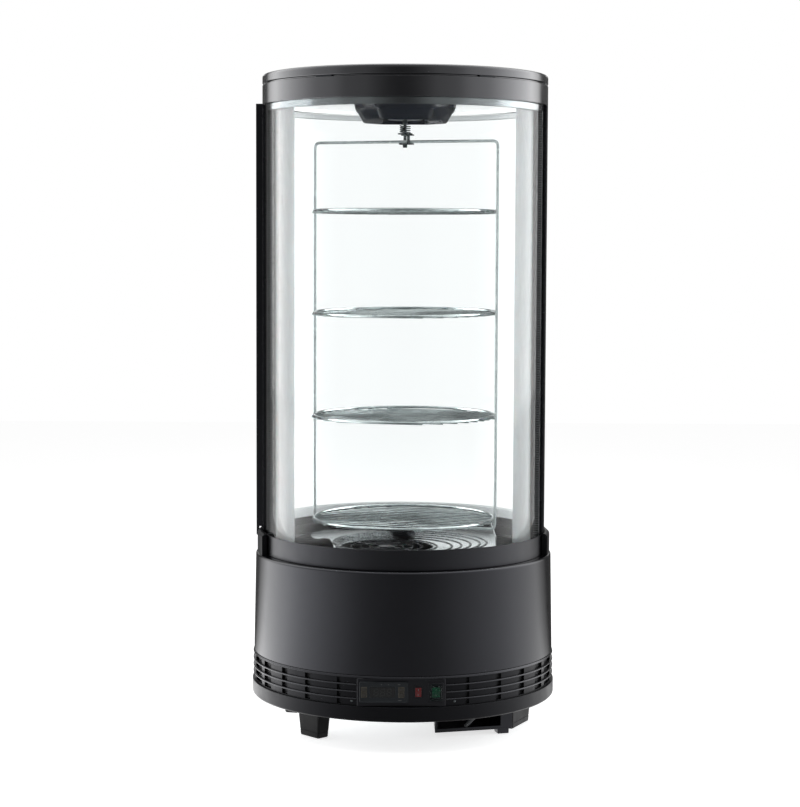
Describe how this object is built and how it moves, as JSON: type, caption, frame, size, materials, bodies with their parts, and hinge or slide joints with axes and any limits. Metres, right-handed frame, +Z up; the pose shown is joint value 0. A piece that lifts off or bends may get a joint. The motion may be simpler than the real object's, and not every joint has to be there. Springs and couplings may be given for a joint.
{
  "type": "revolving glass display cabinet",
  "caption": "Round countertop refrigerated display cabinet with curved double glazing, a turning wire shelf rack, a hinged rear door and a louvred base with thermostat and switches.",
  "frame": {"origin": "centre of the round base, on the surface that the feet stand on", "axes": "+Z up; -Y towards the front with the control panel; +X to the right seen from the front"},
  "size_m": [0.517, 0.517, 1.1],
  "materials": {
    "blackPlastic": "semi-gloss",
    "satinBlack": "satin",
    "blackMetal": "satin",
    "glass": "clear",
    "clearPlastic": "clear and soft",
    "diffuser": "frosted",
    "whitePanel": "satin",
    "aluminium": "satin",
    "stainless": "polished",
    "chromeWire": "bright",
    "zincSteel": "zinc plated",
    "copper": "copper pipes in aluminium fins",
    "slateBezel": "matt",
    "displayBlack": "glossy",
    "beigeButton": "matt",
    "redLens": "glossy",
    "greenLens": "glossy",
    "greyHose": "satin",
    "foam": "foam filled liner"
  },
  "bodies": {
    "cabinet": {"foot_front_left": "satinBlack", "foot_front_right": "satinBlack", "foot_rear_right": "satinBlack", "foot_rear_left": "satinBlack", "chassis_plate": "zincSteel", "vent_band": "satinBlack", "control_panel": "blackPlastic", "thermostat_housing": "slateBezel", "display_window": "displayBlack", "light_switch_frame": "blackPlastic", "power_switch_frame": "blackPlastic", "switch_hood": "clearPlastic", "base_housing": "blackPlastic", "compressor": "blackMetal", "condenser": "copper", "evaporator_tub": "foam", "evaporator": "aluminium", "floor_pan": "satinBlack", "evaporator_cover": "stainless", "fan_guard": "stainless", "pivot_post": "blackMetal", "drain_hose": "greyHose", "front_sill": "satinBlack", "front_pane_outer": "glass", "front_pane_inner": "glass", "glazing_spacer": "aluminium", "pillar_left": "blackMetal", "pillar_right": "blackMetal", "light_column_left": "diffuser", "light_column_right": "diffuser", "top_ring": "blackPlastic", "ceiling_panel": "whitePanel", "lid": "blackPlastic", "motor_cover": "blackPlastic", "gear_motor": "zincSteel", "rear_sill": "blackPlastic"},
    "rack": {"drive_shaft": "zincSteel", "drive_spring": "zincSteel", "hook_bracket": "zincSteel", "hub": "blackPlastic", "rack_frame": "chromeWire", "shelf_1": "chromeWire", "shelf_2": "chromeWire", "shelf_3": "chromeWire", "shelf_4": "chromeWire"},
    "door": {"door_hinge_stile": "blackMetal", "door_latch_stile": "blackMetal", "door_bottom_rail": "blackPlastic", "door_top_rail": "aluminium", "door_pane_outer": "glass", "door_pane_inner": "glass"},
    "light_rocker": {"light_switch_rocker": "redLens"},
    "power_rocker": {"power_switch_rocker": "greenLens"},
    "button_1": {"thermostat_button_1": "beigeButton"},
    "button_2": {"thermostat_button_2": "beigeButton"},
    "button_3": {"thermostat_button_3": "beigeButton"},
    "button_4": {"thermostat_button_4": "beigeButton"},
    "warm_fan": {"condenser_fan": "satinBlack"},
    "cold_fan": {"evaporator_fan": "satinBlack"},
    "tray": {"drip_tray": "blackPlastic"}
  },
  "joints": [
    {"name": "rack_spin", "type": "hinge", "parent": "cabinet", "child": "rack", "pos_m": [0, 0, 0.33], "axis": [0, 0, 1], "continuous": true},
    {"name": "door_swing", "type": "hinge", "parent": "cabinet", "child": "door", "pos_m": [0.23596, 0.00412, 0.69], "axis": [0, 0, -1], "range_deg": [0, 95]},
    {"name": "light_switch_tip", "type": "hinge", "parent": "cabinet", "child": "light_rocker", "pos_m": [0.0245, -0.2481, 0.1], "axis": [1, 0, 0], "range_deg": [-8, 8]},
    {"name": "power_switch_tip", "type": "hinge", "parent": "cabinet", "child": "power_rocker", "pos_m": [0.0528, -0.2481, 0.1], "axis": [1, 0, 0], "range_deg": [-8, 8]},
    {"name": "button_1_push", "type": "slide", "parent": "cabinet", "child": "button_1", "axis": [0, 1, 0], "range_m": [0, 0.0008], "stiffness_N_per_m": 300},
    {"name": "button_2_push", "type": "slide", "parent": "cabinet", "child": "button_2", "axis": [0, 1, 0], "range_m": [0, 0.0008], "stiffness_N_per_m": 300},
    {"name": "button_3_push", "type": "slide", "parent": "cabinet", "child": "button_3", "axis": [0, 1, 0], "range_m": [0, 0.0008], "stiffness_N_per_m": 300},
    {"name": "button_4_push", "type": "slide", "parent": "cabinet", "child": "button_4", "axis": [0, 1, 0], "range_m": [0, 0.0008], "stiffness_N_per_m": 300},
    {"name": "condenser_fan_spin", "type": "hinge", "parent": "cabinet", "child": "warm_fan", "pos_m": [0, 0.144, 0.1151], "axis": [0, 1, 0], "continuous": true},
    {"name": "evaporator_fan_spin", "type": "hinge", "parent": "cabinet", "child": "cold_fan", "pos_m": [-0.028, -0.09, 0.284], "axis": [0, 0, 1], "continuous": true},
    {"name": "drip_tray_slide", "type": "slide", "parent": "cabinet", "child": "tray", "axis": [0.2622, -0.965, 0], "range_m": [0, 0.06]}
  ]
}
